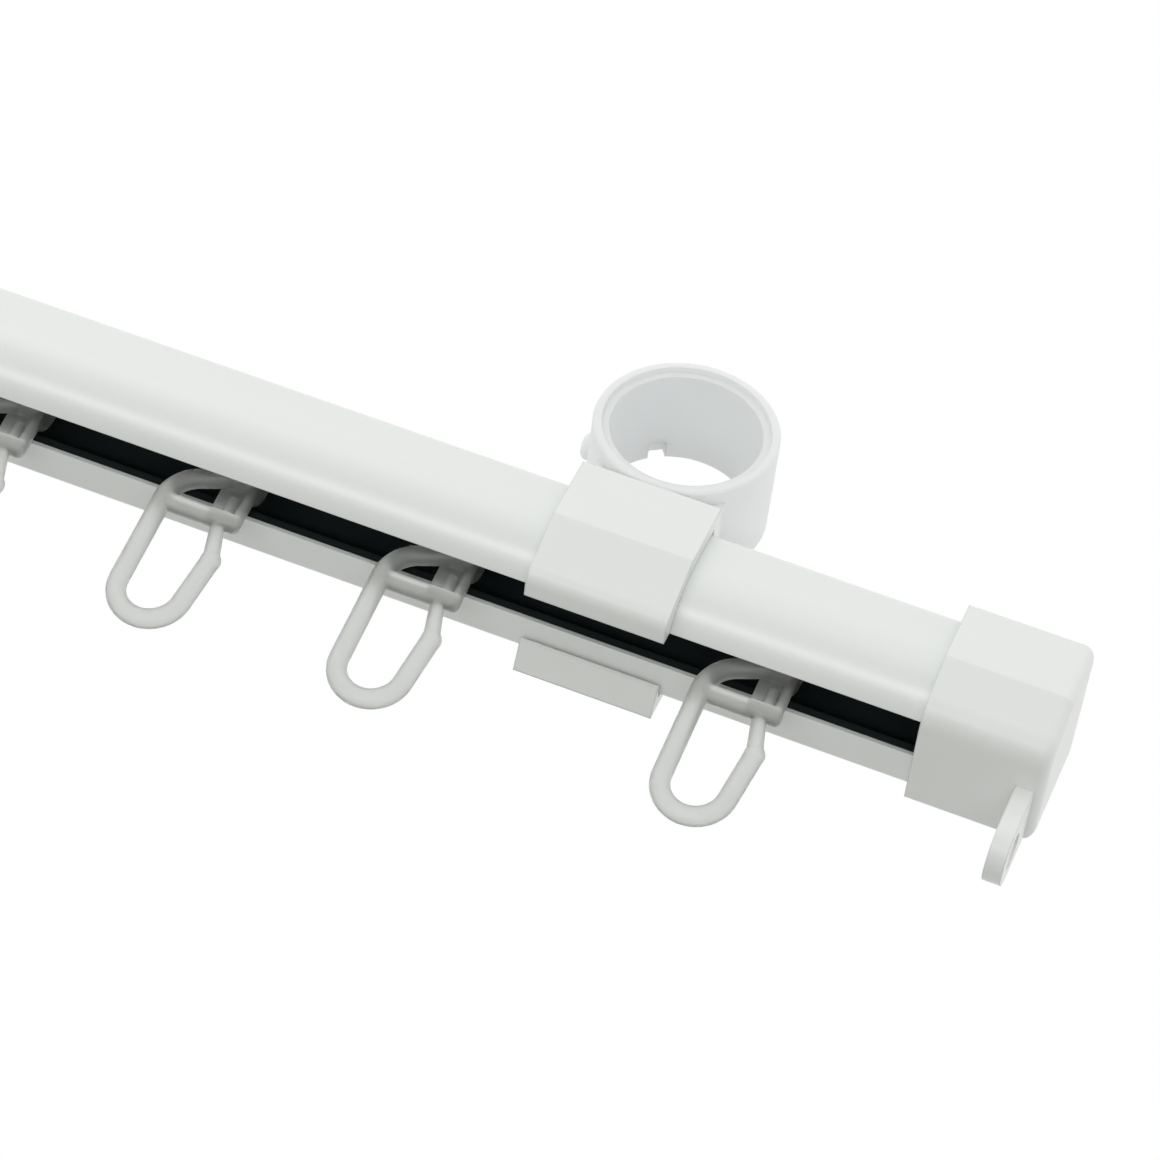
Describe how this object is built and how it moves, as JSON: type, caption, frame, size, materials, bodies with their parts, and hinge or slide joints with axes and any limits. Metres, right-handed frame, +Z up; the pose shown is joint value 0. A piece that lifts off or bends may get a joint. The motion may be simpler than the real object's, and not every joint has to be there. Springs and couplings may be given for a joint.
{
  "type": "curtain track",
  "caption": "White slotted curtain rail with end caps, spring clips that carry hanging rings, and eyelet runners that slide along the slot.",
  "frame": {"origin": "on the axis of the right-hand hanging ring's bore, at the ring's wall-side rim", "axes": "+X along the rail to its right-hand end, seen from the room; +Y towards the wall along the ring bores; +Z up"},
  "size_m": [0.455, 0.0204, 0.0635],
  "materials": {
    "rail_white": "satin",
    "liner_black": "matte",
    "fitting_white": "satin",
    "ring_natural": "satin",
    "runner_natural": "satin"
  },
  "bodies": {
    "track": {"rail": "rail_white", "glide_liner": "liner_black", "right_end_cap": "fitting_white", "left_end_cap": "fitting_white", "right_rail_clip": "fitting_white", "left_rail_clip": "fitting_white", "right_ring": "ring_natural", "left_ring": "ring_natural"},
    "runner_01": {"runner_01": "runner_natural"},
    "runner_02": {"runner_02": "runner_natural"},
    "runner_03": {"runner_03": "runner_natural"},
    "runner_04": {"runner_04": "runner_natural"},
    "runner_05": {"runner_05": "runner_natural"},
    "runner_06": {"runner_06": "runner_natural"},
    "runner_07": {"runner_07": "runner_natural"},
    "runner_08": {"runner_08": "runner_natural"},
    "runner_09": {"runner_09": "runner_natural"},
    "runner_10": {"runner_10": "runner_natural"},
    "runner_11": {"runner_11": "runner_natural"},
    "runner_12": {"runner_12": "runner_natural"}
  },
  "joints": [
    {"name": "runner_01_slide", "type": "slide", "parent": "track", "child": "runner_01", "axis": [1, 0, 0], "range_m": [-0.0154, 0.0163]},
    {"name": "runner_02_slide", "type": "slide", "parent": "track", "child": "runner_02", "axis": [1, 0, 0], "range_m": [-0.0089, 0.0154]},
    {"name": "runner_03_slide", "type": "slide", "parent": "track", "child": "runner_03", "axis": [1, 0, 0], "range_m": [-0.0089, 0.0089]},
    {"name": "runner_04_slide", "type": "slide", "parent": "track", "child": "runner_04", "axis": [1, 0, 0], "range_m": [-0.0089, 0.0089]},
    {"name": "runner_05_slide", "type": "slide", "parent": "track", "child": "runner_05", "axis": [1, 0, 0], "range_m": [-0.0089, 0.0089]},
    {"name": "runner_06_slide", "type": "slide", "parent": "track", "child": "runner_06", "axis": [1, 0, 0], "range_m": [-0.0089, 0.0089]},
    {"name": "runner_07_slide", "type": "slide", "parent": "track", "child": "runner_07", "axis": [1, 0, 0], "range_m": [-0.0089, 0.0089]},
    {"name": "runner_08_slide", "type": "slide", "parent": "track", "child": "runner_08", "axis": [1, 0, 0], "range_m": [-0.0089, 0.0089]},
    {"name": "runner_09_slide", "type": "slide", "parent": "track", "child": "runner_09", "axis": [1, 0, 0], "range_m": [-0.0089, 0.0089]},
    {"name": "runner_10_slide", "type": "slide", "parent": "track", "child": "runner_10", "axis": [1, 0, 0], "range_m": [-0.0089, 0.0089]},
    {"name": "runner_11_slide", "type": "slide", "parent": "track", "child": "runner_11", "axis": [1, 0, 0], "range_m": [-0.0231, 0.0089]},
    {"name": "runner_12_slide", "type": "slide", "parent": "track", "child": "runner_12", "axis": [1, 0, 0], "range_m": [-0.015, 0.0231]}
  ]
}
